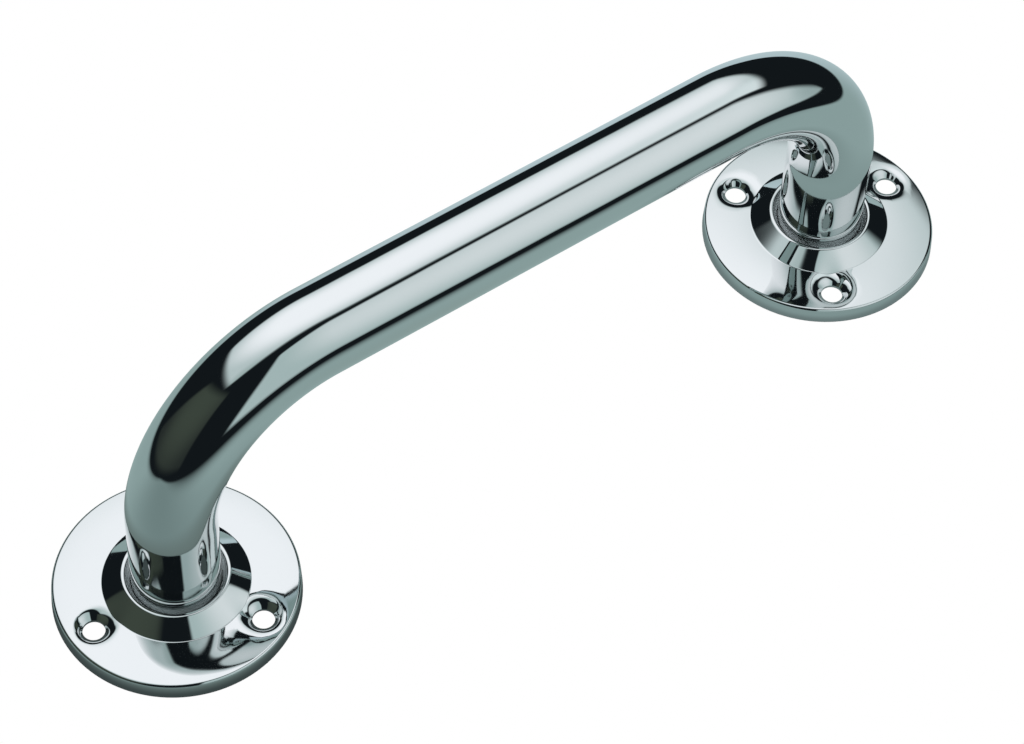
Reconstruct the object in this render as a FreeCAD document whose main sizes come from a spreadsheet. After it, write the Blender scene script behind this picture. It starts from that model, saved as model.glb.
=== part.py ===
import FreeCAD, Part
import Sketcher
import os

# Chrome-plated grab rail: a bent round tube standing on two pressed-steel wall flanges.
# Frame, in millimetres: the origin is midway between the flanges on the mounting surface,
# X runs along the rail, and Z points away from the surface. Each flange and each backing
# ring is drawn round its own Z axis and then placed at its end of the rail.

DIMENSIONS = {
    # the rail
    "flange_centres": 230.0,      # distance between the two leg axes
    "axis_height": 83.5,          # mounting surface to the axis of the straight grip
    "tube_diameter": 25.4,        # outside diameter, one inch
    "tube_wall": 1.5,
    "bend_radius": 48.0,          # to the tube's centreline
    "flare_height": 3.4,          # where the tube's swaged end starts to open out
    "flare_reach": 1.4,           # how far the swaged end opens, in radius
    # the pressed flange
    "flange_diameter": 70.0,
    "sheet_thickness": 1.5,
    "rim_height": 5.0,            # turned-down rim, up to its sharp theoretical corner
    "rim_draft": 0.3,             # how much further out the rim's foot is than that corner
    "rim_round": 1.0,
    "crown_radius": 110.0,        # the plate between rim and hub is slightly domed
    "hub_diameter": 41.6,         # the crease where the plate turns up into the hub
    "hub_slope": 35.5,            # degrees above the mounting surface
    "crest_height": 9.8,          # top of the rolled lip round the tube
    "crest_diameter": 29.6,
    "lip_round": 1.0,
    "groove_height": 7.3,         # where the rolled lip meets the tube
    "collar_foot": 4.4,           # lower edge of the collar round the tube
    "collar_gap": 0.1,            # radial slip of the collar and the backing ring on the tube
    # the screw holes, each at the bottom of a pressed countersink
    "screw_circle": 54.0,
    "screw_hole": 6.4,
    "hole_wall": 0.8,             # straight wall of the hole, below its countersink
    "countersink_mouth": 10.6,    # where the 90 degree cone meets the undomed plate
    "mouth_round": 1.2,
    # the hidden backing ring
    "ring_diameter": 39.0,
    "ring_thickness": 2.0,
}

SCREWS_PER_FLANGE = 3
HALF_TURN = 180.0
FULL_TURN = 360.0
BLANK_HEADROOM = 2.0              # spare height left on the flange blank before its face is cut
TOOL_OVERHANG = 3.0               # how far a cutting outline runs past the material
POSITION_TOLERANCE = 1e-4
MOUTH_SEARCH = 1.2                # how far from their own circle the dished mouth edges may stray

TUBE_RADIUS = "dimensions.tube_diameter / 2"
BORE_RADIUS = "dimensions.tube_diameter / 2 - dimensions.tube_wall"
LEG_X = "dimensions.flange_centres / 2"
FLANGE_RADIUS = "dimensions.flange_diameter / 2"
SHOULDER_RADIUS = "(dimensions.flange_diameter / 2 - dimensions.rim_draft)"
COLLAR_RADIUS = "dimensions.tube_diameter / 2 + dimensions.collar_gap"
CREST_RADIUS = "dimensions.crest_diameter / 2"
HUB_RADIUS = "dimensions.hub_diameter / 2"
SCREW_RADIUS = "dimensions.screw_circle / 2"

# The rolled lip is a round of lip_round about a circle just under its crest. The hub's cone
# leaves that round at the hub's slope, and reaches the plate at the crease.
LIP_CENTRE_Z = "(dimensions.crest_height - dimensions.lip_round)"
LIP_OUTER_X = f"({CREST_RADIUS} + dimensions.lip_round * sin(dimensions.hub_slope))"
LIP_OUTER_Z = f"({LIP_CENTRE_Z} + dimensions.lip_round * cos(dimensions.hub_slope))"
CREASE_Z = f"({LIP_OUTER_Z} - ({HUB_RADIUS} - {LIP_OUTER_X}) * tan(dimensions.hub_slope))"

# The 90 degree countersink is as deep as it is wide, from the straight line between the
# crease and the rim's corner down to the top of the hole's wall.
PLATE_FALL = f"({CREASE_Z} - dimensions.rim_height) / ({SHOULDER_RADIUS} - {HUB_RADIUS})"
PLATE_Z = f"({CREASE_Z} - {PLATE_FALL} * ({SCREW_RADIUS} - {HUB_RADIUS}))"
HOLE_TOP_Z = f"({PLATE_Z} - (dimensions.countersink_mouth - dimensions.screw_hole) / 2)"


def make_sheet(document):
    """Spreadsheet of driving dimensions, one alias per value."""
    sheet = document.addObject("Spreadsheet::Sheet", "dimensions")
    for row, (alias, value) in enumerate(DIMENSIONS.items(), start=1):
        sheet.set(f"A{row}", alias)
        sheet.set(f"B{row}", str(value))
        sheet.setAlias(f"B{row}", alias)
    document.recompute()


def origin_feature(body, role):
    """One of the body's own origin planes or axes."""
    return next(item for item in body.Origin.OriginFeatures if item.Role == role)


def new_sketch(body, name, plane="XZ_Plane"):
    sketch = body.newObject("Sketcher::SketchObject", name)
    sketch.AttachmentSupport = [(origin_feature(body, plane), "")]
    sketch.MapMode = "FlatFace"
    return sketch


def bind(sketch, constraint, expression):
    """Add a dimensional constraint and tie its value to the spreadsheet."""
    index = sketch.addConstraint(constraint)
    sketch.setExpression(f"Constraints[{index}]", expression)


def pin_vertex(sketch, element, vertex, across, up):
    """Hold a vertex at two expressions, measured from the sketch's origin."""
    origin = (-1, 1)
    axes = {"DistanceX": (across, -2), "DistanceY": (up, -1)}
    for kind, (expression, axis) in axes.items():
        value = float(sketch.evalExpression(expression))
        if expression == "0":
            sketch.addConstraint(Sketcher.Constraint("PointOnObject", element, vertex, axis))
        else:
            bind(sketch, Sketcher.Constraint(kind, *origin, element, vertex, value), expression)


def arc_between(start, end, radius, bulge):
    """Short arc from start to end. bulge is +1 where it swells to the left of the chord."""
    chord = end - start
    middle = (start + end) / 2
    left = FreeCAD.Vector(-chord.y, chord.x, 0).normalize()
    rise = radius - (radius**2 - (chord.Length / 2) ** 2) ** 0.5
    crown = middle + left * rise * bulge
    return Part.Arc(start, crown, end)


def draw_chain(sketch, corners, arcs=None, closed=True):
    """Chain of lines and arcs through corners given as (across, up) expressions.

    arcs maps the index of a segment's first corner to (radius expression, bulge).
    """
    arcs = arcs or {}
    points = [
        FreeCAD.Vector(*(float(sketch.evalExpression(term)) for term in corner), 0)
        for corner in corners
    ]
    last = len(points) if closed else len(points) - 1
    ends = []
    for index in range(last):
        start = points[index]
        end = points[(index + 1) % len(points)]
        if index in arcs:
            expression, bulge = arcs[index]
            radius = float(sketch.evalExpression(expression))
            curve = arc_between(start, end, radius, bulge)
            element = sketch.addGeometry(curve, False)
            bind(sketch, Sketcher.Constraint("Radius", element, radius), expression)
        else:
            element = sketch.addGeometry(Part.LineSegment(start, end), False)
        # A sketch arc always runs counter-clockwise, so its first vertex may be the chain's end.
        first = sketch.getPoint(element, 1)
        forward = first.distanceToPoint(start) < POSITION_TOLERANCE
        ends.append((element, 1 if forward else 2, 2 if forward else 1))
    for index, (element, head, _tail) in enumerate(ends):
        pin_vertex(sketch, element, head, *corners[index])
    if not closed:
        pin_vertex(sketch, ends[-1][0], ends[-1][2], *corners[-1])
    joins = zip(ends, ends[1:] + ends[:1]) if closed else zip(ends, ends[1:])
    for (element, _head, tail), (following, head, _tail) in joins:
        sketch.addConstraint(Sketcher.Constraint("Coincident", element, tail, following, head))


def turning_axis(sketch, across):
    """Construction line parallel to the sketch's upright axis, used to revolve about."""
    x = float(sketch.evalExpression(across))
    foot = FreeCAD.Vector(x, 0, 0)
    head = FreeCAD.Vector(x, DIMENSIONS["crest_height"], 0)
    element = sketch.addGeometry(Part.LineSegment(foot, head), True)
    sketch.addConstraint(Sketcher.Constraint("Vertical", element))
    pin_vertex(sketch, element, 1, across, "0")
    bind(
        sketch,
        Sketcher.Constraint("DistanceY", element, 1, element, 2, head.y),
        "dimensions.crest_height",
    )
    return (sketch, ["Axis0"])


def revolve(body, name, sketch, axis, kind="PartDesign::Revolution"):
    feature = body.newObject(kind, name)
    feature.Profile = sketch
    feature.ReferenceAxis = axis
    feature.Angle = FULL_TURN
    body.Tip = feature
    body.Document.recompute()
    return feature


def own_axis(body):
    return (origin_feature(body, "Z_Axis"), [""])


def repeat_round(body, name, originals):
    """Repeat features once for each screw round the flange's axis."""
    pattern = body.newObject("PartDesign::PolarPattern", name)
    pattern.Originals = originals
    pattern.Axis = own_axis(body)
    pattern.Angle = FULL_TURN
    pattern.Occurrences = SCREWS_PER_FLANGE
    body.Tip = pattern
    body.Document.recompute()
    return pattern


def round_edges(body, name, base, edges, radius):
    fillet = body.newObject("PartDesign::Fillet", name)
    fillet.Base = (base, edges)
    fillet.setExpression("Radius", radius)
    body.Tip = fillet
    body.Document.recompute()
    return fillet


def ring_edges(shape, radius, height):
    """Names of the circular edges about the Z axis at a radius and a height."""
    names = []
    for index, edge in enumerate(shape.Edges, start=1):
        spots = [vertex.Point for vertex in edge.Vertexes]
        spots.append(edge.valueAt((edge.FirstParameter + edge.LastParameter) / 2))
        level = all(abs(spot.z - height) < POSITION_TOLERANCE for spot in spots)
        away = all(abs((spot.x**2 + spot.y**2) ** 0.5 - radius) < POSITION_TOLERANCE for spot in spots)
        if level and away:
            names.append(f"Edge{index}")
    return names


def mouth_edges(shape):
    """Names of the edges where the conical countersinks break through the plate."""
    names = []
    for index, edge in enumerate(shape.Edges, start=1):
        middle = edge.valueAt((edge.FirstParameter + edge.LastParameter) / 2)
        distances = []
        for screw in range(SCREWS_PER_FLANGE):
            turn = FreeCAD.Rotation(FreeCAD.Vector(0, 0, 1), FULL_TURN * screw / SCREWS_PER_FLANGE)
            centre = turn.multVec(FreeCAD.Vector(DIMENSIONS["screw_circle"] / 2, 0, 0))
            spots = [vertex.Point for vertex in edge.Vertexes] + [middle]
            distances.append([((p.x - centre.x) ** 2 + (p.y - centre.y) ** 2) ** 0.5 for p in spots])
        near = min(distances, key=max)
        stray = max(abs(distance - DIMENSIONS["countersink_mouth"] / 2) for distance in near)
        if stray < MOUTH_SEARCH and middle.z > DIMENSIONS["rim_height"]:
            names.append(f"Edge{index}")
    return names


def make_rail_tube(document):
    """Bent tube. Each end is swaged open under its backing ring, so it can't pull out."""
    body = document.addObject("PartDesign::Body", "rail_tube")

    path = new_sketch(body, "tube_path")
    bend_start = "dimensions.axis_height - dimensions.bend_radius"
    grip_end = f"{LEG_X} - dimensions.bend_radius"
    corners = [
        (f"-{LEG_X}", "dimensions.flare_height"),
        (f"-{LEG_X}", bend_start),
        (f"-({grip_end})", "dimensions.axis_height"),
        (grip_end, "dimensions.axis_height"),
        (LEG_X, bend_start),
        (LEG_X, "dimensions.flare_height"),
    ]
    bends = {1: ("dimensions.bend_radius", 1), 3: ("dimensions.bend_radius", 1)}
    draw_chain(path, corners, bends, closed=False)

    section = new_sketch(body, "tube_section", "XY_Plane")
    section.setExpression("AttachmentOffset.Base.z", "dimensions.flare_height")
    centre_x = float(section.evalExpression(f"-{LEG_X}"))
    centre = FreeCAD.Vector(centre_x, 0, 0)
    for expression in (TUBE_RADIUS, BORE_RADIUS):
        radius = float(section.evalExpression(expression))
        circle = section.addGeometry(Part.Circle(centre, FreeCAD.Vector(0, 0, 1), radius), False)
        pin_vertex(section, circle, 3, f"-{LEG_X}", "0")
        bind(section, Sketcher.Constraint("Radius", circle, radius), expression)
    document.recompute()

    pipe = body.newObject("PartDesign::AdditivePipe", "bent_tube")
    pipe.Profile = section
    pipe.Spine = (path, [f"Edge{index + 1}" for index in range(len(corners) - 1)])
    body.Tip = pipe
    document.recompute()

    # The swaged end keeps the wall's thickness, so its corners lie on the 22.5 degree bisector.
    flare = new_sketch(body, "flare_outline")
    reach = "dimensions.flare_reach"
    skew = "dimensions.tube_wall * tan(22.5)"
    lean = "dimensions.tube_wall * sin(45)"
    outline = [
        (f"-{LEG_X} - ({TUBE_RADIUS})", "dimensions.flare_height"),
        (f"-{LEG_X} - ({TUBE_RADIUS}) - {reach}", f"dimensions.flare_height - {reach}"),
        (
            f"-{LEG_X} - ({TUBE_RADIUS}) - {reach} + {lean}",
            f"dimensions.flare_height - {reach} - {lean}",
        ),
        (f"-{LEG_X} - ({BORE_RADIUS})", f"dimensions.flare_height - {skew}"),
        (f"-{LEG_X} - ({BORE_RADIUS})", "dimensions.flare_height"),
    ]
    draw_chain(flare, outline)
    axis = turning_axis(flare, f"-{LEG_X}")
    swaged_end = revolve(body, "swaged_end", flare, axis)

    other_end = body.newObject("PartDesign::Mirrored", "other_swaged_end")
    other_end.Originals = [swaged_end]
    other_end.MirrorPlane = (origin_feature(body, "YZ_Plane"), [""])
    body.Tip = other_end
    document.recompute()
    return body


def make_flange(document, name):
    """Pressed flange: turned-down rim, domed plate, conical hub and a lip rolled to the tube."""
    body = document.addObject("PartDesign::Body", name)
    sheet = "dimensions.sheet_thickness"
    top = f"dimensions.crest_height + {BLANK_HEADROOM}"
    crease_under = (f"{HUB_RADIUS} - {sheet} / 2", f"{CREASE_Z} - {sheet}")
    lip_under_x = f"({COLLAR_RADIUS} + {sheet} * 3 / 2)"
    lip_under_z = (
        f"{CREASE_Z} - {sheet} + ({HUB_RADIUS} - {sheet} / 2 - {lip_under_x})"
        " * tan(dimensions.hub_slope)"
    )
    drafted = f"{FLANGE_RADIUS} - dimensions.rim_draft * ({top}) / dimensions.rim_height"

    # The underside of the sheet, below a block that the outer face is cut from.
    blank = new_sketch(body, "underside_outline")
    draw_chain(blank, [
        (FLANGE_RADIUS, "0"),
        (drafted, top),
        (COLLAR_RADIUS, top),
        (COLLAR_RADIUS, "dimensions.collar_foot"),
        (f"{COLLAR_RADIUS} + {sheet}", "dimensions.collar_foot"),
        (f"{COLLAR_RADIUS} + {sheet}", f"dimensions.groove_height - {sheet} / 3"),
        (lip_under_x, lip_under_z),
        crease_under,
        (f"{SHOULDER_RADIUS} - {sheet}", f"dimensions.rim_height - {sheet}"),
        (f"{FLANGE_RADIUS} - {sheet}", "0"),
    ])
    revolve(body, "flange_blank", blank, own_axis(body))

    # Sheet pressed down round each screw hole.
    boss = new_sketch(body, "dimple_outline")
    foot_radius = f"dimensions.screw_hole / 2 + {sheet} * sqrt(2) - dimensions.hole_wall"
    foot_z = f"{HOLE_TOP_Z} - dimensions.hole_wall"
    boss_top = f"{CREASE_Z} - {sheet} / 3"
    draw_chain(boss, [
        (SCREW_RADIUS, foot_z),
        (f"{SCREW_RADIUS} + {foot_radius}", foot_z),
        (f"{SCREW_RADIUS} + {foot_radius} + {boss_top} - ({foot_z})", boss_top),
        (SCREW_RADIUS, boss_top),
    ])
    dimple = revolve(body, "dimple", boss, turning_axis(boss, SCREW_RADIUS))
    repeat_round(body, "dimples", [dimple])

    # The outer face: groove beside the tube, rolled lip, hub, crease and domed plate.
    face = new_sketch(body, "outer_face_outline")
    outside = f"{FLANGE_RADIUS} + {TOOL_OVERHANG}"
    above = f"dimensions.crest_height + {BLANK_HEADROOM} + {TOOL_OVERHANG}"
    draw_chain(face, [
        (COLLAR_RADIUS, "dimensions.groove_height"),
        (f"{CREST_RADIUS} - dimensions.lip_round", LIP_CENTRE_Z),
        (LIP_OUTER_X, LIP_OUTER_Z),
        (HUB_RADIUS, CREASE_Z),
        (SHOULDER_RADIUS, "dimensions.rim_height"),
        (outside, "dimensions.rim_height"),
        (outside, above),
        (f"{COLLAR_RADIUS} - {TOOL_OVERHANG}", above),
        (f"{COLLAR_RADIUS} - {TOOL_OVERHANG}", "dimensions.groove_height"),
    ], {1: ("dimensions.lip_round", 1), 3: ("dimensions.crown_radius", 1)})
    revolve(body, "outer_face", face, own_axis(body), "PartDesign::Groove")

    # Screw holes with 90 degree countersinks.
    drill = new_sketch(body, "countersink_outline")
    hole_edge = f"{SCREW_RADIUS} + dimensions.screw_hole / 2"
    mouth_edge = f"{SCREW_RADIUS} + dimensions.countersink_mouth / 2"
    draw_chain(drill, [
        (SCREW_RADIUS, f"-{TOOL_OVERHANG}"),
        (hole_edge, f"-{TOOL_OVERHANG}"),
        (hole_edge, HOLE_TOP_Z),
        (f"{mouth_edge} + {TOOL_OVERHANG}", f"{PLATE_Z} + {TOOL_OVERHANG}"),
        (SCREW_RADIUS, f"{PLATE_Z} + {TOOL_OVERHANG}"),
    ])
    countersink = revolve(
        body, "countersink", drill, turning_axis(drill, SCREW_RADIUS), "PartDesign::Groove"
    )
    holes = repeat_round(body, "screw_holes", [countersink])

    shoulder_radius = DIMENSIONS["flange_diameter"] / 2 - DIMENSIONS["rim_draft"]
    shoulder = ring_edges(holes.Shape, shoulder_radius, DIMENSIONS["rim_height"])
    rounded = round_edges(body, "rim_shoulder", holes, shoulder, "dimensions.rim_round")
    mouths = mouth_edges(rounded.Shape)
    round_edges(body, "countersink_mouths", rounded, mouths, "dimensions.mouth_round")
    return body


def make_backing_ring(document, name):
    """Steel ring round the tube inside the flange. The collar sits on it and the swaged end holds it."""
    body = document.addObject("PartDesign::Body", name)
    outer = "dimensions.ring_diameter / 2"
    lower = "dimensions.collar_foot - dimensions.ring_thickness"
    flare_line = f"{TUBE_RADIUS} + dimensions.flare_height"
    outline = new_sketch(body, "ring_outline")
    draw_chain(outline, [
        (COLLAR_RADIUS, "dimensions.collar_foot"),
        (COLLAR_RADIUS, f"{flare_line} - ({COLLAR_RADIUS})"),
        (f"{flare_line} - ({lower})", lower),
        (outer, lower),
        (outer, "dimensions.collar_foot"),
    ])
    revolve(body, "ring", outline, own_axis(body))
    return body


def place_at_leg(body, side):
    """Move a piece drawn round its own axis to one leg. side is -1 for left and +1 for right.

    The left piece is turned half round, so that a screw hole of each flange lies outboard.
    """
    turn = FreeCAD.Rotation(FreeCAD.Vector(0, 0, 1), HALF_TURN if side < 0 else 0.0)
    body.Placement = FreeCAD.Placement(FreeCAD.Vector(0, 0, 0), turn)
    body.setExpression("Placement.Base.x", f"{side} * {LEG_X}")


def check_document(document, bodies):
    """Stop if any feature failed or any piece isn't one valid solid."""
    for item in document.Objects:
        if "Invalid" in item.State or "Error" in item.State:
            raise RuntimeError(f"{item.Name} failed to build")
    for body in bodies:
        shape = body.Shape
        if shape.isNull() or not shape.isValid() or len(shape.Solids) != 1:
            raise RuntimeError(f"{body.Label} isn't one valid solid")


def export(bodies):
    os.makedirs("parts", exist_ok=True)
    for body in bodies:
        body.Shape.exportStep(os.path.join("parts", f"{body.Label}.step"))
        box = body.Shape.BoundBox
        print(f"{body.Label}: {body.Shape.Volume:.1f} mm3, "
              f"{box.XLength:.2f} x {box.YLength:.2f} x {box.ZLength:.2f} mm")


def main():
    document = FreeCAD.newDocument("grab_rail")
    make_sheet(document)
    bodies = [make_rail_tube(document)]
    for side, word in ((-1, "left"), (1, "right")):
        flange = make_flange(document, f"flange_{word}")
        ring = make_backing_ring(document, f"backing_ring_{word}")
        for body in (flange, ring):
            place_at_leg(body, side)
            bodies.append(body)
    document.recompute()
    check_document(document, bodies)
    export(bodies)


main()
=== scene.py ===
import math

import bmesh
import bpy
import numpy as np
from mathutils import Matrix, Vector


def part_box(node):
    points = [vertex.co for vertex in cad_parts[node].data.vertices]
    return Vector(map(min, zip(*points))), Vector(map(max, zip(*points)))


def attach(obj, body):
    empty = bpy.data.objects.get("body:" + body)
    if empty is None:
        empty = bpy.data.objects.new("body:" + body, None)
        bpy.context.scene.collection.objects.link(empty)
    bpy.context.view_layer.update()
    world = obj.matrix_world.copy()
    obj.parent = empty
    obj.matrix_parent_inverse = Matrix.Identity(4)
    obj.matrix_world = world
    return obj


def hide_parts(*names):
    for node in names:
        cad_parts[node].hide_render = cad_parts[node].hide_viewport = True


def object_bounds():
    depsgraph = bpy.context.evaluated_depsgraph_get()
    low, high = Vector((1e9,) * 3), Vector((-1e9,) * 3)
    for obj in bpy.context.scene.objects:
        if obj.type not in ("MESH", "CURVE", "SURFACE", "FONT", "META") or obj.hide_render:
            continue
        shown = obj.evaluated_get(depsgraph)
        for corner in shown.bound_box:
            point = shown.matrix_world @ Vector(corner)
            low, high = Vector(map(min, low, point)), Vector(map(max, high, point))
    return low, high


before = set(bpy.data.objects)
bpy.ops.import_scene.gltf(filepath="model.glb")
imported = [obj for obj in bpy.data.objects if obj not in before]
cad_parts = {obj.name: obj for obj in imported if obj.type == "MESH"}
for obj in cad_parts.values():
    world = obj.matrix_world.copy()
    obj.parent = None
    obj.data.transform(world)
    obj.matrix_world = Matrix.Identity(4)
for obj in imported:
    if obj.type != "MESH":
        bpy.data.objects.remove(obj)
CAD_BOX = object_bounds()

MM = 0.001
TURN = 2 * math.pi

# Sizes shared with the CAD model, in millimetres. Places come from the CAD nodes' boxes.
TUBE_RADIUS = 12.7
TUBE_WALL = 1.5
BEND_RADIUS = 48.0
FLARE_HEIGHT = 3.4
FLARE_REACH = 1.4
FLARE_ANGLE = math.radians(45)
FLANGE_RADIUS = 35.0
RIM_DRAFT = 0.3
SHEET = 1.5
RIM_HEIGHT = 5.0
RIM_ROUND = 1.0
CROWN_RADIUS = 110.0
HUB_RADIUS = 20.8
CREASE_ROUND = 0.6
HUB_SLOPE = math.radians(35.5)
CREST_HEIGHT = 9.8
CREST_RADIUS = 14.8
LIP_ROUND = 1.0
GROOVE_HEIGHT = 7.3
COLLAR_RADIUS = 12.8
COLLAR_FOOT = 4.4
SCREW_CIRCLE = 27.0
SCREWS = 3
HOLE_RADIUS = 3.2
HOLE_WALL = 0.8
COUNTERSINK_MOUTH = 10.6

# What pressing the countersinks does to the sheet round them.
DIMPLE_BLEND = 1.2       # how far each side of its edge a pressed countersink is rounded
HUB_SIDE_BLEND = 1.8     # added to it on the side next to the hub
SAG = 0.25               # how deep the sheet round a countersink was drawn down with it
SAG_START = 4.5          # distance from the screw's axis up to which the sag is full
SAG_END = 7.6            # and where it ends

SHARP_ANGLE = math.radians(28)   # edges that turn more than this are shaded as sharp


# ---------------------------------------------------------------- helpers

def node_centre(node):
    low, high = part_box(node)
    return (low + high) / 2


LEG_X = node_centre("flange_right").x / MM      # how far each leg's axis is from the middle
AXIS_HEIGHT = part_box("rail_tube")[1].z / MM - TUBE_RADIUS


def arc(centre, radius, start, end, steps):
    """Points on an arc, from angle start to angle end, both included."""
    return [
        (centre[0] + radius * math.cos(a), centre[1] + radius * math.sin(a))
        for a in np.linspace(start, end, steps + 1)
    ]


def straight(start, end, steps):
    """Points after start up to and including end."""
    return [
        tuple(np.array(start) + (np.array(end) - np.array(start)) * k / steps)
        for k in range(1, steps + 1)
    ]


def add_object(name, data):
    """New object in the scene."""
    made = bpy.data.objects.new(name, data)
    bpy.context.scene.collection.objects.link(made)
    return made


def make_piece(name, vertices, faces, node, material):
    """Smooth mesh piece, given in millimetres, that stands for a CAD node and rides on the body."""
    mesh = bpy.data.meshes.new(name)
    mesh.from_pydata([tuple(v) for v in np.asarray(vertices) * MM], [], faces)
    mesh.validate()
    mesh.polygons.foreach_set("use_smooth", [True] * len(mesh.polygons))
    mesh.set_sharp_from_angle(angle=SHARP_ANGLE)
    mesh.materials.append(material)
    piece = add_object(name, mesh)
    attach(piece, "root")
    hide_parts(node)
    return piece


def join_rings(first, second, count):
    """Quads between two rings of vertices, given by their first vertex numbers."""
    return [
        (first + k, first + (k + 1) % count, second + (k + 1) % count, second + k)
        for k in range(count)
    ]


# ---------------------------------------------------------------- rail tube

TUBE_SIDES = 160
LEG_STEPS = 13
BEND_STEPS = 64
GRIP_STEPS = 11          # along half of the straight


def tube_stations(radius, corner_z, end_radius, end_z):
    """Rings of the tube's skin from the left swaged end to the right one.

    Each station is (centre x, centre z, lean, radius), where lean turns the ring about Y. The
    skin opens out from corner_z down to its end.
    """
    bend_x = LEG_X - BEND_RADIUS
    bend_z = AXIS_HEIGHT - BEND_RADIUS
    left = [
        (-LEG_X, end_z, 0.0, end_radius),
        (-LEG_X, corner_z, 0.0, radius),
    ]
    for z in np.linspace(corner_z, bend_z, LEG_STEPS + 1)[1:-1]:
        left.append((-LEG_X, z, 0.0, radius))
    for angle in np.linspace(0, math.pi / 2, BEND_STEPS + 1):
        x = -bend_x - BEND_RADIUS * math.cos(angle)
        z = bend_z + BEND_RADIUS * math.sin(angle)
        left.append((x, z, angle, radius))
    for x in np.linspace(-bend_x, 0, GRIP_STEPS + 1)[1:]:
        left.append((x, AXIS_HEIGHT, math.pi / 2, radius))
    right = [(-x, z, math.pi - lean, r) for x, z, lean, r in reversed(left[:-1])]
    return left + right


def station_ring(station):
    """The points round the tube's skin at one station."""
    x, z, lean, radius = station
    angles = np.arange(TUBE_SIDES) * TURN / TUBE_SIDES
    across = radius * np.cos(angles)
    sideways = radius * np.sin(angles)
    return np.stack([x - across * math.cos(lean), sideways, z + across * math.sin(lean)], axis=1)


def make_rail_tube(material):
    """Bent tube with both ends swaged open, as one closed skin."""
    flared_radius = TUBE_RADIUS + FLARE_REACH
    flared_z = FLARE_HEIGHT - FLARE_REACH
    inward = TUBE_WALL * math.sin(FLARE_ANGLE)
    inner_corner_z = FLARE_HEIGHT - TUBE_WALL * math.tan(FLARE_ANGLE / 2)
    outside = tube_stations(TUBE_RADIUS, FLARE_HEIGHT, flared_radius, flared_z)
    inside = tube_stations(
        TUBE_RADIUS - TUBE_WALL, inner_corner_z, flared_radius - inward, flared_z - inward
    )
    loop = outside + inside[::-1]
    vertices = np.concatenate([station_ring(station) for station in loop])
    faces = []
    for index in range(len(loop)):
        following = (index + 1) % len(loop)
        faces += join_rings(following * TUBE_SIDES, index * TUBE_SIDES, TUBE_SIDES)
    make_piece("bent_rail_tube", vertices, faces, "rail_tube", material)


# ---------------------------------------------------------------- pressed flange

LIP_CENTRE = (CREST_RADIUS, CREST_HEIGHT - LIP_ROUND)
LIP_OUTER = (
    LIP_CENTRE[0] + LIP_ROUND * math.sin(HUB_SLOPE),
    LIP_CENTRE[1] + LIP_ROUND * math.cos(HUB_SLOPE),
)
CREASE_Z = LIP_OUTER[1] - (HUB_RADIUS - LIP_OUTER[0]) * math.tan(HUB_SLOPE)
SHOULDER_RADIUS = FLANGE_RADIUS - RIM_DRAFT


def crown_centre():
    """Centre of the arc that the domed plate is turned from, crease to rim corner."""
    start = np.array([HUB_RADIUS, CREASE_Z])
    end = np.array([SHOULDER_RADIUS, RIM_HEIGHT])
    chord = end - start
    length = np.linalg.norm(chord)
    inward = np.array([chord[1], -chord[0]]) / length
    return (start + end) / 2 + inward * math.sqrt(CROWN_RADIUS**2 - (length / 2) ** 2)


CROWN = crown_centre()
PLATE_FALL = (CREASE_Z - RIM_HEIGHT) / (SHOULDER_RADIUS - HUB_RADIUS)
PLATE_Z = CREASE_Z - PLATE_FALL * (SCREW_CIRCLE - HUB_RADIUS)
HOLE_TOP = PLATE_Z - (COUNTERSINK_MOUTH / 2 - HOLE_RADIUS)
UNDER_CREASE = (HUB_RADIUS - SHEET / 2, CREASE_Z - SHEET)
UNDER_SHOULDER = (SHOULDER_RADIUS - SHEET, RIM_HEIGHT - SHEET)
UNDER_HUB_MARGIN = 0.3   # the plate's underside starts this far outside the hub
UNDER_RIM_MARGIN = 0.15  # and stops this far inside the rim

SIDE_STEPS = 48          # round the flange, across one screw's third of it
END_STEPS = 20           # along each radial edge of that third
MOUTH_STEPS = 22         # rings close round the hole
MOUTH_MARGIN = 0.12      # how far the last of them stays off the edge of the plate
SPREAD_STEPS = 14        # rings from there out to the edge of the third

LIP_STEPS = 24
LIP_WALL_STEPS = 6
HUB_STEPS = 30
CREASE_STEPS = 6
SHOULDER_STEPS = 16
RIM_STEPS = 6
FOOT_STEPS = 3
RIM_INSIDE_STEPS = 4
HUB_INSIDE_STEPS = 12


def plate_height(r):
    return CROWN[1] + np.sqrt(CROWN_RADIUS**2 - (r - CROWN[0]) ** 2)


def under_height(r):
    """Underside of the plate, a straight cone."""
    fall = (UNDER_SHOULDER[1] - UNDER_CREASE[1]) / (UNDER_SHOULDER[0] - UNDER_CREASE[0])
    return UNDER_CREASE[1] + fall * (r - UNDER_CREASE[0])


def soft_min(a, b, width):
    """Smaller of two heights, rounded where they come within width of each other."""
    overlap = np.clip(width - np.abs(a - b), 0, None) / width
    return np.minimum(a, b) - overlap**2 * width / 4


def screw_distance(points):
    """Distance in plan from the nearest screw hole's axis."""
    distances = []
    for k in range(SCREWS):
        angle = TURN * k / SCREWS
        centre = SCREW_CIRCLE * np.array([math.cos(angle), math.sin(angle)])
        distances.append(np.hypot(points[:, 0] - centre[0], points[:, 1] - centre[1]))
    return np.min(distances, axis=0)


def sag(away, height):
    """How far the punch drew the sheet down near a countersink, nothing at the rim's foot."""
    share = np.clip((away - SAG_START) / (SAG_END - SAG_START), 0, 1)
    return SAG * (1 - share**2 * (3 - 2 * share)) * np.clip(height / RIM_HEIGHT, 0, 1)


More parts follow.
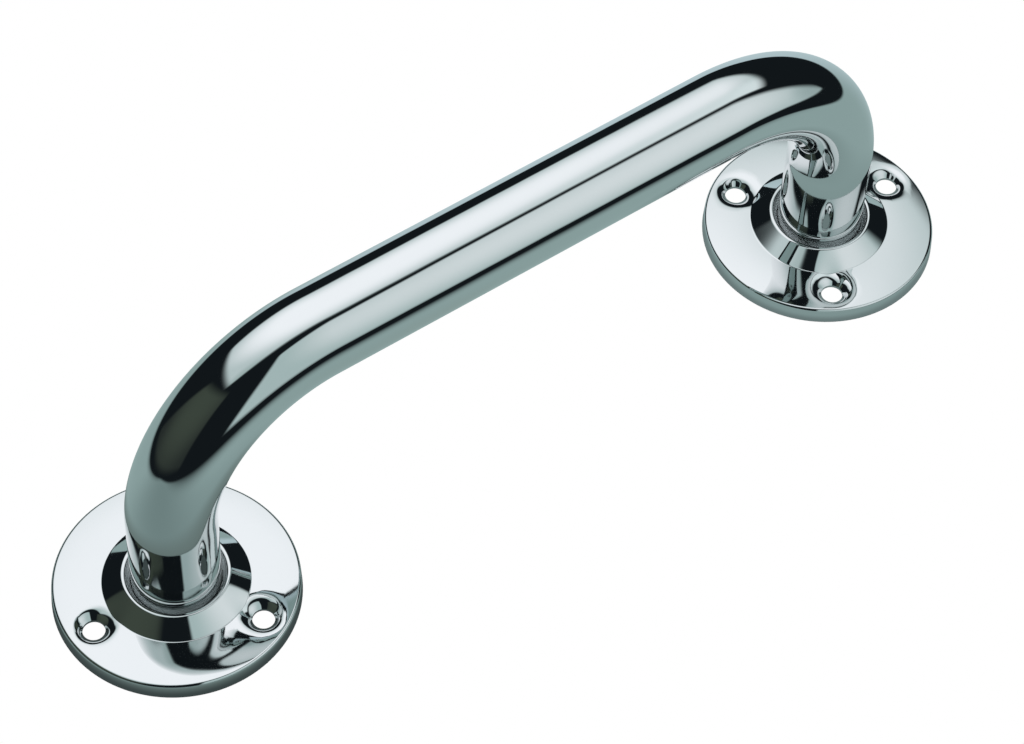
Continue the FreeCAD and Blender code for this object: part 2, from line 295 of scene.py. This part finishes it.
def press_outer(points):
    """Pull the outer skin down into the 90 degree countersinks, more softly on the hub's side."""
    away = screw_distance(points)
    cone = HOLE_TOP + away - HOLE_RADIUS
    from_axis = np.hypot(points[:, 0], points[:, 1])
    inward = np.clip((SCREW_CIRCLE - from_axis) / (SCREW_CIRCLE - HUB_RADIUS), 0, 1)
    width = DIMPLE_BLEND + HUB_SIDE_BLEND * inward**2
    pressed = points.copy()
    pressed[:, 2] = soft_min(points[:, 2] - sag(away, points[:, 2]), cone, width)
    return pressed


def press_under(points):
    """The same pressing on the underside, one sheet thickness lower."""
    away = screw_distance(points)
    foot = HOLE_TOP - HOLE_WALL
    cone = np.maximum(foot, HOLE_TOP + away - HOLE_RADIUS - SHEET * math.sqrt(2))
    pressed = points.copy()
    pressed[:, 2] = soft_min(points[:, 2] - sag(away, points[:, 2]), cone, DIMPLE_BLEND / 2)
    return pressed


def sector_loop(inner_radius, outer_radius):
    """Edge of one third of the plate as (radius, angle) pairs, starting at its outer middle."""
    half = math.pi / SCREWS
    outer = [(outer_radius, a) for a in np.linspace(-half, half, SIDE_STEPS + 1)[:-1]]
    upper = [(r, half) for r in np.linspace(outer_radius, inner_radius, END_STEPS + 1)[:-1]]
    inner = [(inner_radius, a) for a in np.linspace(half, -half, SIDE_STEPS + 1)[:-1]]
    lower = [(r, -half) for r in np.linspace(inner_radius, outer_radius, END_STEPS + 1)[:-1]]
    loop = outer + upper + inner + lower
    middle = SIDE_STEPS // 2
    return np.array(loop[middle:] + loop[:middle])


def sector_grid(inner_radius, outer_radius):
    """Rings of points from a screw hole's edge out to the edge of its third of the plate."""
    loop = sector_loop(inner_radius, outer_radius)
    angles = np.arange(len(loop)) * TURN / len(loop)
    reach = SCREW_CIRCLE - inner_radius - MOUTH_MARGIN
    grid = []
    for away in np.linspace(HOLE_RADIUS, reach, MOUTH_STEPS + 1):
        x = SCREW_CIRCLE + away * np.cos(angles)
        y = away * np.sin(angles)
        grid.append(np.stack([x, y], axis=1))
    start = np.stack([np.hypot(x, y), np.arctan2(y, x)], axis=1)
    for step in range(1, SPREAD_STEPS + 1):
        radius, angle = (start + (loop - start) * step / SPREAD_STEPS).T
        grid.append(np.stack([radius * np.cos(angle), radius * np.sin(angle)], axis=1))
    return grid


class MeshBuilder:
    """Collects the vertices and faces of a flange."""

    def __init__(self):
        self.vertices = []
        self.faces = []

    def add(self, points):
        """Take in a ring of points and give back its first vertex number."""
        first = len(self.vertices)
        self.vertices += [tuple(p) for p in points]
        return first

    def lathe(self, outline, shape):
        """Skin of revolution through (r, z) points, passed through a shaping function."""
        count = SIDE_STEPS * SCREWS
        angles = np.arange(count) * TURN / count
        rows = []
        for r, z in outline:
            height = np.full(count, z)
            points = np.stack([r * np.cos(angles), r * np.sin(angles), height], axis=1)
            rows.append(self.add(shape(points)))
        for first, second in zip(rows, rows[1:]):
            self.faces += join_rings(first, second, count)

    def sectors(self, inner_radius, outer_radius, height, shape):
        """Plate with its screw holes, one third at a time. Gives back the holes' edge rings."""
        grid = sector_grid(inner_radius, outer_radius)
        hole_rings = []
        for k in range(SCREWS):
            turn = TURN * k / SCREWS
            rows = []
            for ring in grid:
                x = ring[:, 0] * math.cos(turn) - ring[:, 1] * math.sin(turn)
                y = ring[:, 0] * math.sin(turn) + ring[:, 1] * math.cos(turn)
                z = height(np.hypot(x, y))
                rows.append(self.add(shape(np.stack([x, y, z], axis=1))))
            for first, second in zip(rows, rows[1:]):
                self.faces += join_rings(first, second, len(ring))
            hole_rings.append(rows[0])
        return hole_rings, len(ring)


def hub_outline():
    """Outer skin from the groove beside the tube over the lip and down the cone to the plate."""
    lip_inner = (LIP_CENTRE[0] - LIP_ROUND, LIP_CENTRE[1])
    tangent = CREASE_ROUND * math.tan(HUB_SLOPE / 2)
    crease = np.array([HUB_RADIUS, CREASE_Z])
    crease_start = crease + tangent * np.array([-math.cos(HUB_SLOPE), math.sin(HUB_SLOPE)])
    crease_end = np.array([HUB_RADIUS + tangent, plate_height(HUB_RADIUS + tangent)])
    outline = [(COLLAR_RADIUS, GROOVE_HEIGHT)]
    outline += straight(outline[-1], lip_inner, LIP_WALL_STEPS)
    outline += arc(LIP_CENTRE, LIP_ROUND, math.pi, math.pi / 2 - HUB_SLOPE, LIP_STEPS)[1:]
    outline += straight(outline[-1], crease_start, HUB_STEPS)
    for share in np.linspace(0, 1, CREASE_STEPS + 1)[1:]:
        near = crease_start * (1 - share) + crease * share
        far = crease * (1 - share) + crease_end * share
        outline.append(tuple(near * (1 - share) + far * share))
    return outline


def rim_outline():
    """From the plate's edge over the shoulder and down the drafted rim to its inner foot."""
    draft = math.atan2(RIM_DRAFT, RIM_HEIGHT)
    centre_z = RIM_HEIGHT - RIM_ROUND
    for _ in range(4):   # a few rounds settle where it touches both the dome and the drafted wall
        wall_r = SHOULDER_RADIUS + (RIM_HEIGHT - centre_z) * math.tan(draft)
        centre_r = wall_r - RIM_ROUND / math.cos(draft)
        inner_reach = CROWN_RADIUS - RIM_ROUND
        centre_z = CROWN[1] + math.sqrt(inner_reach**2 - (centre_r - CROWN[0]) ** 2)
    lean = math.atan2(centre_r - CROWN[0], centre_z - CROWN[1])
    outline = arc((centre_r, centre_z), RIM_ROUND, math.pi / 2 - lean, draft, SHOULDER_STEPS)
    outline += straight(outline[-1], (FLANGE_RADIUS, 0), RIM_STEPS)
    return outline + straight(outline[-1], (FLANGE_RADIUS - SHEET, 0), FOOT_STEPS)


def rim_inside_outline():
    """Up the inside of the rim and a little way in along the underside."""
    foot = (FLANGE_RADIUS - SHEET, 0)
    edge = UNDER_SHOULDER[0] - UNDER_RIM_MARGIN
    outline = [foot] + straight(foot, UNDER_SHOULDER, RIM_INSIDE_STEPS)
    return outline + [(edge, under_height(edge))]


def hub_inside_outline():
    """Underside from the plate inwards, round the collar and back up to the groove."""
    start = HUB_RADIUS + UNDER_HUB_MARGIN
    lip_r = COLLAR_RADIUS + SHEET * 1.5
    lip = (lip_r, UNDER_CREASE[1] + (UNDER_CREASE[0] - lip_r) * math.tan(HUB_SLOPE))
    collar = [
        (COLLAR_RADIUS + SHEET, GROOVE_HEIGHT - SHEET / 3),
        (COLLAR_RADIUS + SHEET, COLLAR_FOOT),
        (COLLAR_RADIUS, COLLAR_FOOT),
        (COLLAR_RADIUS, GROOVE_HEIGHT),
    ]
    outline = [(start, under_height(start)), UNDER_CREASE]
    return outline + straight(UNDER_CREASE, lip, HUB_INSIDE_STEPS) + collar


def make_flange(name, node, side, material):
    """Flange with a screw hole outboard. side is -1 for the left one and +1 for the right one."""
    builder = MeshBuilder()
    hub = hub_outline()
    rim = rim_outline()
    rim_inside = rim_inside_outline()
    hub_inside = hub_inside_outline()
    builder.lathe(hub, press_outer)
    tops, count = builder.sectors(hub[-1][0], rim[0][0], plate_height, press_outer)
    builder.lathe(rim, press_outer)
    builder.lathe(rim_inside, press_under)
    feet, count = builder.sectors(hub_inside[0][0], rim_inside[-1][0], under_height, press_under)
    builder.lathe(hub_inside, press_under)
    for top, foot in zip(tops, feet):
        builder.faces += join_rings(top, foot, count)
    vertices = np.array(builder.vertices)
    vertices[:, :2] *= side
    vertices += np.array([side * LEG_X, 0, 0])
    weld(make_piece(name, vertices, builder.faces, node, material))


def weld(piece):
    """Merge the doubled vertices along the seams and point every face outwards."""
    shell = bmesh.new()
    shell.from_mesh(piece.data)
    bmesh.ops.remove_doubles(shell, verts=shell.verts, dist=0.001 * MM)
    bmesh.ops.recalc_face_normals(shell, faces=shell.faces)
    shell.to_mesh(piece.data)
    shell.free()
    piece.data.set_sharp_from_angle(angle=SHARP_ANGLE)


# ---------------------------------------------------------------- node graphs

class Graph:
    """Short names for the nodes of one node tree."""

    def __init__(self, tree):
        self.tree = tree

    def node(self, kind, **settings):
        made = self.tree.nodes.new(kind)
        for key, value in settings.items():
            setattr(made, key, value)
        return made

    def feed(self, socket, value):
        """Link another node's output to a socket, or set the socket to a plain value."""
        if isinstance(value, bpy.types.NodeSocket):
            self.tree.links.new(value, socket)
        else:
            socket.default_value = value

    def maths(self, operation, first, second=0.0):
        made = self.node("ShaderNodeMath", operation=operation)
        self.feed(made.inputs[0], first)
        self.feed(made.inputs[1], second)
        return made.outputs[0]

    def vector(self, operation, first, second=(0, 0, 0)):
        made = self.node("ShaderNodeVectorMath", operation=operation)
        self.feed(made.inputs[0], first)
        self.feed(made.inputs[1], tuple(second))
        return made.outputs["Value" if operation in ("DOT_PRODUCT", "LENGTH") else "Vector"]

    def ramp(self, value, low, high, start=0.0, end=1.0):
        """Smooth step from start at low to end at high."""
        made = self.node("ShaderNodeMapRange", interpolation_type="SMOOTHSTEP")
        self.feed(made.inputs["Value"], value)
        self.feed(made.inputs["From Min"], low)
        self.feed(made.inputs["From Max"], high)
        self.feed(made.inputs["To Min"], start)
        self.feed(made.inputs["To Max"], end)
        return made.outputs["Result"]

    def mix(self, share, first, second):
        """Colour that goes from first to second as share goes from 0 to 1."""
        made = self.node("ShaderNodeMix", data_type="RGBA")
        self.feed(made.inputs["Factor"], share)
        self.feed(made.inputs["A"], first)
        self.feed(made.inputs["B"], second)
        return made.outputs["Result"]

    def noise(self, place, scale, detail=2.0):
        made = self.node("ShaderNodeTexNoise")
        self.feed(made.inputs["Vector"], place)
        self.feed(made.inputs["Scale"], scale)
        self.feed(made.inputs["Detail"], detail)
        return made.outputs["Fac"]

    def bump(self, height, distance):
        made = self.node("ShaderNodeBump")
        self.feed(made.inputs["Strength"], 1.0)
        self.feed(made.inputs["Distance"], distance)
        self.feed(made.inputs["Height"], height)
        return made.outputs["Normal"]


def linear(value):
    """Light of one sRGB channel from 0 to 255."""
    value = value / 255
    return value / 12.92 if value <= 0.04045 else ((value + 0.055) / 1.055) ** 2.4


CHROME = (0.74, 0.76, 0.765)


def in_chrome(red, green, blue):
    """Light that is seen in the chrome as this sRGB colour."""
    seen = [linear(value) / share for value, share in zip((red, green, blue), CHROME)]
    return (*seen, 1)


# ---------------------------------------------------------------- materials

POLISHED = 0.022         # roughness of the chrome where it was buffed most
HAZY = 0.05              # and where it was buffed least
FINE_HAZE = 0.012        # fine unevenness added to both
GROOVE_HAZE = 0.2        # roughness added in the groove round the tube
GROOVE_FULL = 1.2        # millimetres inside the lip's crest, where that roughness is full
GROOVE_GONE = 0.2        # and where it is gone
SWELL_DEPTH = 0.00003    # metres, left by the buffing wheel
GRAIN_DEPTH = 0.00002    # metres, on the zinc

# Scales of the noises, in waves per metre.
HAZE_SCALE = 55.0
FINE_SCALE = 900.0
SWELL_SCALE = 70.0
CLOUD_SCALE = 180.0
GRAIN_SCALE = 2500.0


def new_material(name):
    material = bpy.data.materials.new(name)
    material.use_nodes = True
    return material, Graph(material.node_tree), material.node_tree.nodes["Principled BSDF"]


def new_glow(name):
    """Material with nothing but a light of its own, whose colour and output are still to be set."""
    material = bpy.data.materials.new(name)
    material.use_nodes = True
    material.node_tree.nodes.clear()
    graph = Graph(material.node_tree)
    return material, graph, graph.node("ShaderNodeEmission"), graph.node("ShaderNodeOutputMaterial")


def groove_haze(graph, place):
    """Roughness in the groove beside the tube, only to quiet the speckle of light trapped there."""
    parts = graph.node("ShaderNodeSeparateXYZ")
    graph.feed(parts.inputs[0], place)
    along = graph.maths("SUBTRACT", graph.maths("ABSOLUTE", parts.outputs["X"]), LEG_X * MM)
    across = parts.outputs["Y"]
    along_squared = graph.maths("MULTIPLY", along, along)
    across_squared = graph.maths("MULTIPLY", across, across)
    from_axis = graph.maths("SQRT", graph.maths("ADD", along_squared, across_squared))
    full = (CREST_RADIUS - GROOVE_FULL) * MM
    gone = (CREST_RADIUS - GROOVE_GONE) * MM
    inside = graph.ramp(from_axis, full, gone, 1.0, 0.0)
    full = (CREST_HEIGHT - GROOVE_FULL) * MM
    below = graph.ramp(parts.outputs["Z"], full, CREST_HEIGHT * MM, 1.0, 0.0)
    return graph.maths("MULTIPLY", graph.maths("MULTIPLY", inside, below), GROOVE_HAZE)


def chrome_material():
    """Bright chrome: a hardly seen swell from buffing and haze where polish was left thin."""
    material, graph, shader = new_material("polished_chrome")
    place = graph.node("ShaderNodeTexCoord").outputs["Object"]
    haze = graph.noise(place, HAZE_SCALE, detail=4.0)
    fine = graph.maths("MULTIPLY", graph.noise(place, FINE_SCALE), FINE_HAZE)
    bright = (*(share * 1.01 for share in CHROME), 1)
    dull = (*(share * 0.975 for share in CHROME), 1)
    roughness = graph.maths("ADD", graph.ramp(haze, 0.35, 0.75, POLISHED, HAZY), fine)
    roughness = graph.maths("ADD", roughness, groove_haze(graph, place))
    graph.feed(shader.inputs["Metallic"], 1.0)
    graph.feed(shader.inputs["Base Color"], graph.mix(haze, bright, dull))
    graph.feed(shader.inputs["Roughness"], roughness)
    swell = graph.noise(place, SWELL_SCALE, detail=1.0)
    graph.feed(shader.inputs["Normal"], graph.bump(swell, SWELL_DEPTH))
    return material


def steel_material():
    """Dull zinc plate with the faint cloudiness and grain of the bath."""
    material, graph, shader = new_material("plated_steel")
    place = graph.node("ShaderNodeTexCoord").outputs["Object"]
    cloud = graph.noise(place, CLOUD_SCALE, detail=5.0)
    grain = graph.noise(place, GRAIN_SCALE)
    zinc = graph.mix(cloud, (0.46, 0.47, 0.45, 1), (0.6, 0.6, 0.57, 1))
    graph.feed(shader.inputs["Metallic"], 1.0)
    graph.feed(shader.inputs["Base Color"], zinc)
    graph.feed(shader.inputs["Roughness"], graph.ramp(cloud, 0.3, 0.7, 0.34, 0.5))
    graph.feed(shader.inputs["Normal"], graph.bump(grain, GRAIN_DEPTH))
    return material


# ---------------------------------------------------------------- studio

EYE = Vector((0, 0, 0.06))       # about the object's middle, from which the tints are aimed
CARD_SPREAD = 1.6                # a card's mesh reaches past its soft edges by this factor
ALONG_X = Vector((1, 0, 0))
ALONG_Y = Vector((0, 1, 0))
UP = Vector((0, 0, 1))
TABLE_HEIGHT = 0.05              # millimetres, just above the white floor that the camera sees
FLOOR_GAP = 0.0002               # metres between that floor and the object
FLOOR_REACH = 20                 # metres

CAMERA_AZIMUTH = -128.38         # degrees, of the way from the target to the camera
CAMERA_ELEVATION = 53.01
CAMERA_ROLL = 3.18
CAMERA_DISTANCE = 0.966
CAMERA_TARGET = Vector((-0.0003, 0, 0.01525))
CAMERA_LENS = 117.72             # millimetres, with a sensor 36 mm wide
SENSOR_WIDTH = 36


def toward(azimuth, elevation):
    """Unit vector that points this way. Both angles are in degrees."""
    a = math.radians(azimuth)
    e = math.radians(elevation)
    return Vector((math.cos(a) * math.cos(e), math.sin(a) * math.cos(e), math.sin(e)))


def soft_share(graph, place, corners, across, upward):
    """How much of a card there is at a place: 1 inside its outline and 0 past its soft edges."""
    flat = np.array([corner[:2] for corner in corners], dtype=float)
    middle = flat.mean(axis=0)
    share = 1.0
    for index, corner in enumerate(flat):
        edge = flat[(index + 1) % len(flat)] - corner
        inward = np.array([-edge[1], edge[0]]) / np.linalg.norm(edge)
        if inward @ (middle - corner) < 0:
            inward = -inward
        start = float(inward @ corner) * MM
        soft = corners[index][2] * MM
        depth_in = graph.vector("DOT_PRODUCT", place, across * inward[0] + upward * inward[1])
        share = graph.maths("MULTIPLY", share, graph.ramp(depth_in, start - soft, start + soft))
    return share


def card_light(graph, place, tone, tints, shade_spots):
    """A card's colour at a place, from its tone and what tints and spots of painted shade mix into
    it.
    """
    way = graph.vector("NORMALIZE", graph.vector("SUBTRACT", place, EYE))
    light = tone
    for azimuth, elevation, low, high, tint in tints:
        cosine = graph.vector("DOT_PRODUCT", way, toward(azimuth, elevation))
        light = graph.mix(graph.ramp(cosine, low, high), light, tint)
    # painted shade: each spot darkens the card round a point, standing for a contact shadow
    for x, y, near, far, tint in shade_spots:
        reach = graph.vector("LENGTH", graph.vector("SUBTRACT", place, Vector((x, y, 0)) * MM))
        light = graph.mix(graph.ramp(reach, near * MM, far * MM, 1.0, 0.0), light, tint)
    return light


def make_card(name, corners, across, upward, depth, tone, tints, shade_spots=()):
    """Flat glowing card with soft edges, seen only by reflection.

    A corner is (u, v, softness of the edge that follows) in millimetres, with u and v along
    across and upward. Depth is the card's distance from the origin along their cross product.
    A tint is (azimuth, elevation, from, to, light): it comes in as the cosine between the way
    to a point of the card and the given way goes from one value to the other. A shade spot is
    (x, y, near, far, light), painted shade that stands for a contact shadow, full up to the near
    distance and gone at the far one.
    """
    facing = across.cross(upward)
    flat = np.array([corner[:2] for corner in corners], dtype=float)
    middle = flat.mean(axis=0)
    spread = middle + (flat - middle) * CARD_SPREAD
    places = [(across * u + upward * v + facing * depth) * MM for u, v in spread]
    mesh = bpy.data.meshes.new(name)
    mesh.from_pydata(places, [], [tuple(range(len(places)))])
    card = add_object(name, mesh)
    card.visible_camera = False

    material, graph, glow, output = new_glow(name)
    mesh.materials.append(material)
    place = graph.node("ShaderNodeNewGeometry").outputs["Position"]
    graph.feed(glow.inputs["Color"], card_light(graph, place, tone, tints, shade_spots))
    blend = graph.node("ShaderNodeMixShader")
    graph.feed(blend.inputs[0], soft_share(graph, place, corners, across, upward))
    graph.feed(blend.inputs[1], graph.node("ShaderNodeBsdfTransparent").outputs[0])
    graph.feed(blend.inputs[2], glow.outputs[0])
    graph.feed(output.inputs[0], blend.outputs[0])


def make_cards():
    make_card("table", [
        (-565, -25, 45),
        (-310, -280, 20),
        (-50, -455, 20),
        (215, -205, 85),
        (315, -210, 60),
        (560, 180, 65),
        (1370, 1980, 85),
        (-100, 445, 95),
        (-290, 315, 25),
    ], ALONG_X, ALONG_Y, TABLE_HEIGHT, in_chrome(134, 156, 155), [
        (53, -8, 0.5, 1.1, in_chrome(172, 192, 198)),
        (192, -14, 0.81, 1.12, in_chrome(92, 111, 110)),
        (-102, -63, 0.78, 1.09, in_chrome(131, 151, 149)),
    ], [
        # painted shade: contact shadows painted on the table round each flange's foot, darker at the
        # left one
        (-LEG_X, 0, FLANGE_RADIUS, 60, in_chrome(98, 114, 112)),
        (-LEG_X, 0, FLANGE_RADIUS + 0.5, FLANGE_RADIUS + 4, in_chrome(58, 68, 68)),
        (LEG_X, 0, FLANGE_RADIUS, 60, in_chrome(124, 145, 144)),
        (LEG_X, 0, FLANGE_RADIUS + 0.5, FLANGE_RADIUS + 3, in_chrome(104, 120, 120)),
    ])
    make_card("softbox", [
        (-525, 45, 40),
        (-430, 880, 55),
        (165, 690, 60),
        (450, 90, 20),
        (440, 70, 10),
        (-90, 40, 40),
    ], toward(26, 0), UP, 385, in_chrome(160, 180, 180), [
        (-53, 34, 0.72, 1.17, in_chrome(224, 230, 233)),
        (-15, 0, 0.93, 1.0, in_chrome(145, 164, 164)),
    ])
    make_card("olive", [
        (-475, 20, 25),
        (245, 45, 25),
        (270, 525, 55),
        (-285, 460, 40),
    ], toward(269, 0), UP, 510, in_chrome(37, 43, 41), [
        (171, 31, 0.74, 1.03, in_chrome(59, 68, 60)),
    ])
    make_card("overhead", [
        (905, -230, 30),
        (920, -120, 115),
        (835, 350, 115),
        (880, 895, 80),
        (810, 1285, 135),
        (-455, 1115, 80),
        (-540, 520, 65),
        (-645, -140, 30),
        (-380, -215, 50),
        (-40, -220, 55),
        (370, -230, 55),
    ], ALONG_X, ALONG_Y, 725, in_chrome(176, 192, 193), [
        (75, 67, 0.72, 0.98, in_chrome(236, 241, 245)),
        (-149, 48, 0.94, 1.0, in_chrome(148, 168, 167)),
        (-19, 39, 0.86, 0.97, in_chrome(206, 219, 221)),
    ])


def make_world():
    """Black all round in the chrome, plain white behind the object."""
    world = bpy.data.worlds.new("studio")
    bpy.context.scene.world = world
    world.use_nodes = True
    world.node_tree.nodes.clear()
    graph = Graph(world.node_tree)
    seen = graph.node("ShaderNodeLightPath").outputs["Is Camera Ray"]
    background = graph.node("ShaderNodeBackground")
    graph.feed(background.inputs["Color"], graph.mix(seen, in_chrome(17, 22, 25), (1, 1, 1, 1)))
    graph.feed(graph.node("ShaderNodeOutputWorld").inputs[0], background.outputs[0])


def make_floor():
    """Plain white floor that only the camera sees."""
    corners = [(x * FLOOR_REACH, y * FLOOR_REACH, 0) for x, y in ((-1, -1), (1, -1), (1, 1), (-1, 1))]
    mesh = bpy.data.meshes.new("floor")
    mesh.from_pydata(corners, [], [(0, 1, 2, 3)])
    floor = add_object("floor", mesh)
    floor.location.z = CAD_BOX[0].z - FLOOR_GAP
    floor.visible_glossy = False
    floor.visible_diffuse = False
    floor.visible_shadow = False
    material, graph, glow, output = new_glow("white_floor")
    mesh.materials.append(material)
    graph.feed(glow.inputs["Color"], (1, 1, 1, 1))
    graph.feed(output.inputs[0], glow.outputs[0])


def make_camera():
    back = toward(CAMERA_AZIMUTH, CAMERA_ELEVATION)
    camera = add_object("camera", bpy.data.cameras.new("camera"))
    camera.data.lens = CAMERA_LENS
    camera.data.sensor_width = SENSOR_WIDTH
    camera.data.clip_start = 0.01
    camera.data.clip_end = 100
    upright = (-back).to_track_quat("-Z", "Y").to_matrix()
    turned = upright @ Matrix.Rotation(math.radians(CAMERA_ROLL), 3, "Z")
    place = Matrix.Translation(CAMERA_TARGET + back * CAMERA_DISTANCE)
    camera.matrix_world = place @ turned.to_4x4()
    bpy.context.scene.camera = camera


def main():
    chrome = chrome_material()
    steel = steel_material()
    make_rail_tube(chrome)
    make_flange("pressed_flange_left", "flange_left", -1, chrome)
    make_flange("pressed_flange_right", "flange_right", 1, chrome)
    for name in ("backing_ring_left", "backing_ring_right"):
        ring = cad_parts[name]
        ring.data.materials.clear()
        ring.data.materials.append(steel)
    make_world()
    make_cards()
    make_floor()
    make_camera()
    bpy.context.scene.view_settings.view_transform = "Standard"


main()
